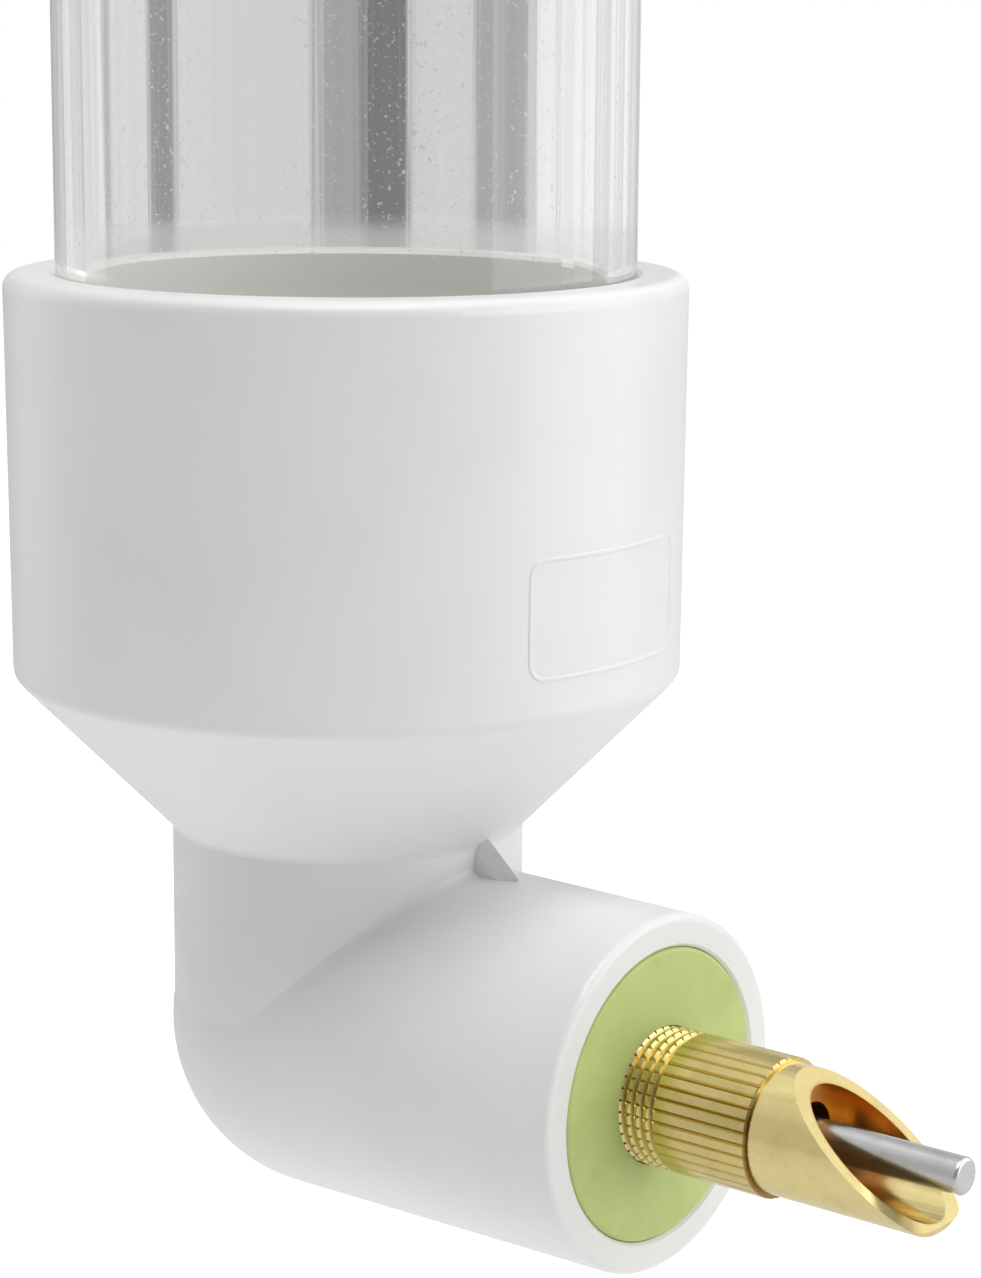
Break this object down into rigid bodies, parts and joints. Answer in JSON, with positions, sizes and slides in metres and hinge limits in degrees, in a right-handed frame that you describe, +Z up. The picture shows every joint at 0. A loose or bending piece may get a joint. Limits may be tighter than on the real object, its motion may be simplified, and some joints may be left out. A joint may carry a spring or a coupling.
{
  "type": "bird water dispenser",
  "caption": "Hanging bird drinker: clear reservoir tube in a white reducing elbow, with a rubber bung and a brass drinking nipple with a sprung pin.",
  "frame": {"origin": "on the tube's axis, in the plane of the elbow socket's rim, where the bare tube starts", "axes": "+Z up along the reservoir tube, +X along the elbow's arm towards the drinking nipple"},
  "size_m": [0.0756, 0.0472, 0.1953],
  "materials": {
    "white_pvc": "satin white moulded PVC-U",
    "clear_acrylic": "clear polished extruded tube",
    "white_cap_pvc": "satin white moulded PVC-U",
    "green_rubber": "matt yellow-green rubber",
    "brass": "turned bright brass",
    "stainless_pin": "drawn stainless steel",
    "black_rubber": "black rubber",
    "stainless_wire": "drawn spring wire",
    "stainless_sheet": "punched sheet",
    "retainer_brass": "turned brass"
  },
  "bodies": {
    "dispenser": {"reducing_elbow": "white_pvc", "reservoir_tube": "clear_acrylic", "rubber_bung": "green_rubber", "nipple_body": "brass", "inlet_filter": "stainless_sheet", "rear_retainer": "retainer_brass"},
    "cap": {"top_cap": "white_cap_pvc"},
    "seal": {"valve_seal": "black_rubber"},
    "spring": {"valve_spring": "stainless_wire"},
    "pin": {"valve_pin": "stainless_pin"}
  },
  "joints": [
    {"name": "cap_lift", "type": "slide", "parent": "dispenser", "child": "cap", "axis": [0, 0, 1], "range_m": [0, 0.045]},
    {"name": "pin_tilt_sideways", "type": "hinge", "parent": "dispenser", "child": "seal", "pos_m": [0.03175, 0, -0.0532], "axis": [0, 0, 1], "range_deg": [-4, 4], "stiffness_Nm_per_rad": 0.01, "deforming": ["valve_seal"]},
    {"name": "pin_tilt_up_down", "type": "hinge", "parent": "seal", "child": "spring", "pos_m": [0.03175, 0, -0.0532], "axis": [0, 1, 0], "range_deg": [-4, 4], "stiffness_Nm_per_rad": 0.01},
    {"name": "pin_push", "type": "slide", "parent": "spring", "child": "pin", "axis": [-1, 0, 0], "range_m": [0, 0.003], "stiffness_N_per_m": 100, "deforming": ["valve_spring"]}
  ]
}
